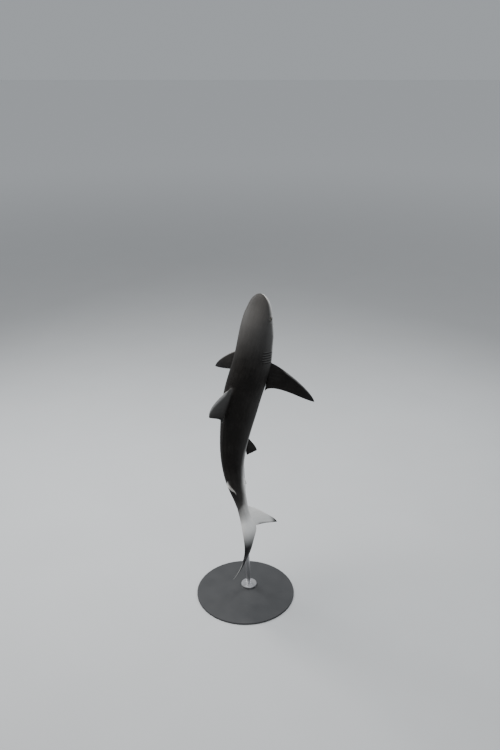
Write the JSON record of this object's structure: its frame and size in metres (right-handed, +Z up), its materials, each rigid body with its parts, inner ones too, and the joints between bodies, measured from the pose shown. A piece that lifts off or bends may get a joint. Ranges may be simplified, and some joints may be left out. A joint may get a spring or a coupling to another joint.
{
  "type": "silky shark display model",
  "caption": "Life-size still model of a silky shark climbing steeply in a swimming curve, held by a leaning steel rod on a round base.",
  "frame": {"origin": "the middle of the stand base's underside, at floor level", "axes": "+Z up; the shark is seen along +Y in its pose, with +X to the viewer's right"},
  "size_m": [0.89, 0.7991, 2.5141],
  "materials": {
    "back_skin": "satin skin with fine denticle grain, dark bronze grey above and pale below",
    "belly_skin": "satin skin with fine denticle grain, off-white",
    "fin_skin": "satin skin with fine denticle grain, dusky towards the tips",
    "eye": "glossy eye with a dark pupil",
    "stand_paint": "fine-textured satin dark grey powder coat",
    "stand_steel": "brushed satin steel"
  },
  "bodies": {
    "root": {"head": "back_skin", "lower_jaw": "belly_skin", "eye_left": "eye", "eye_right": "eye", "gill_region": "back_skin", "trunk_front": "back_skin", "trunk_middle": "back_skin", "trunk_rear": "back_skin", "tail_stalk": "back_skin", "caudal_upper_lobe": "back_skin", "caudal_lower_lobe": "fin_skin", "first_dorsal_fin": "fin_skin", "second_dorsal_fin": "fin_skin", "anal_fin": "fin_skin", "pectoral_fin_left": "fin_skin", "pectoral_fin_right": "fin_skin", "pelvic_fin_left": "fin_skin", "pelvic_fin_right": "fin_skin", "stand_base": "stand_paint", "stand_flange": "stand_steel", "stand_rod": "stand_steel"}
  },
  "joints": []
}
